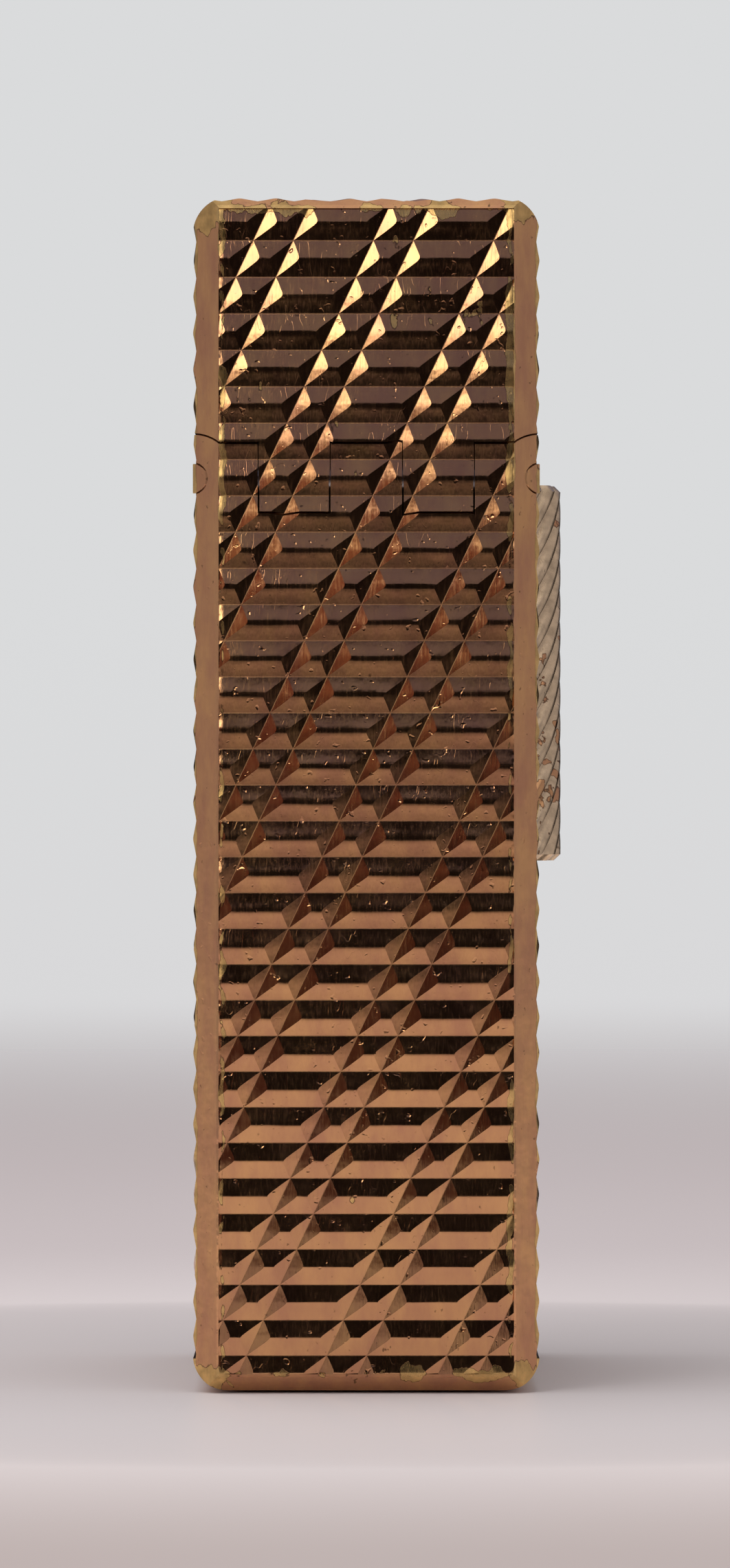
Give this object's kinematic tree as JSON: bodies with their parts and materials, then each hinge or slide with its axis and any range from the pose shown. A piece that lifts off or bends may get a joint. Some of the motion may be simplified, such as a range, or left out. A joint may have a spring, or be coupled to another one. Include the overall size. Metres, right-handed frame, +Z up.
{
  "type": "pocket gas lighter",
  "caption": "Slim refillable pocket lighter in an engine-turned metal case, with a flush-hinged flip lid and a side roller that turns the striker wheel.",
  "frame": {"origin": "centre of the flat base that the lighter stands on", "axes": "+Z up along the case, +X out of the broad side that the roller stands out of, -Y out of the hinged narrow side; the lid opens towards -Y"},
  "size_m": [0.0146, 0.024, 0.046],
  "materials": {
    "rose_gold": "rose gold plate over brass, engine-turned and worn at the edges",
    "brass": "bare turned brass",
    "steel": "turned steel",
    "spring_steel": "drawn spring wire and strip",
    "nickel": "nickel plate",
    "rubber": "moulded rubber",
    "ferro": "cast ferrocerium"
  },
  "bodies": {
    "case": {"body_shell": "rose_gold", "base_plate": "rose_gold", "rim_collar": "rose_gold", "pin_plug_left": "brass", "pin_plug_right": "brass", "filler_valve": "brass", "gas_tank": "brass", "deck": "brass", "burner_valve": "brass", "lever_bracket": "brass", "flint_tube": "brass", "lower_bearing": "brass", "hinge_pin": "steel", "lid_spring_screw": "steel", "base_screw_1": "steel", "base_screw_2": "steel", "deck_screw_1": "steel", "deck_screw_2": "steel", "lever_pin": "steel", "flint_screw": "steel", "striker_bridge": "steel", "bridge_screw": "steel", "lid_spring": "spring_steel", "filler_spring": "spring_steel", "lever_spring": "spring_steel", "flint_spring": "spring_steel", "wind_guard": "nickel", "filler_seal": "rubber"},
    "lid": {"lid_shell": "rose_gold", "lid_liner": "brass", "snuffer_pad": "rubber"},
    "roller": {"roller": "rose_gold", "spindle": "steel", "striker_wheel": "steel"},
    "jet": {"burner_jet": "brass"},
    "lever": {"jet_lever": "steel"},
    "filler": {"filler_stem": "steel"},
    "adjuster": {"flame_adjuster": "brass", "adjuster_rod": "steel"},
    "flint": {"flint": "ferro", "flint_pusher": "steel"}
  },
  "joints": [
    {"name": "lid_hinge", "type": "hinge", "parent": "case", "child": "lid", "pos_m": [0, -0.01089, 0.0352], "axis": [1, 0, 0], "range_deg": [0, 95]},
    {"name": "roller_spin", "type": "hinge", "parent": "case", "child": "roller", "pos_m": [0.0036, 0.0066, 0.028], "axis": [0, 0, 1], "continuous": true},
    {"name": "jet_lift", "type": "slide", "parent": "case", "child": "jet", "axis": [0, 0, 1], "range_m": [0, 0.00056]},
    {"name": "lever_tilt", "type": "hinge", "parent": "case", "child": "lever", "pos_m": [-0.0033, -0.002, 0.03788], "axis": [1, 0, 0], "range_deg": [0, 4.5], "deforming": ["lever_spring"]},
    {"name": "filler_press", "type": "slide", "parent": "case", "child": "filler", "axis": [0, 0, 1], "range_m": [0, 0.0008], "stiffness_N_per_m": 300, "springref_m": -0.0005, "deforming": ["filler_spring"]},
    {"name": "flame_adjust", "type": "hinge", "parent": "case", "child": "adjuster", "pos_m": [-0.0033, 0.0044, 0.001], "axis": [0, 0, 1], "range_deg": [-180, 180]},
    {"name": "flint_feed", "type": "slide", "parent": "case", "child": "flint", "axis": [0, -1, 0], "range_m": [0, 0.0015], "stiffness_N_per_m": 150, "springref_m": -0.002, "deforming": ["flint_spring"]}
  ],
  "couplings": [
    {"joint": "jet_lift", "follows": "lid_hinge", "m_per_rad": 0.00033},
    {"joint": "lever_tilt", "follows": "lid_hinge", "ratio": 0.045}
  ]
}
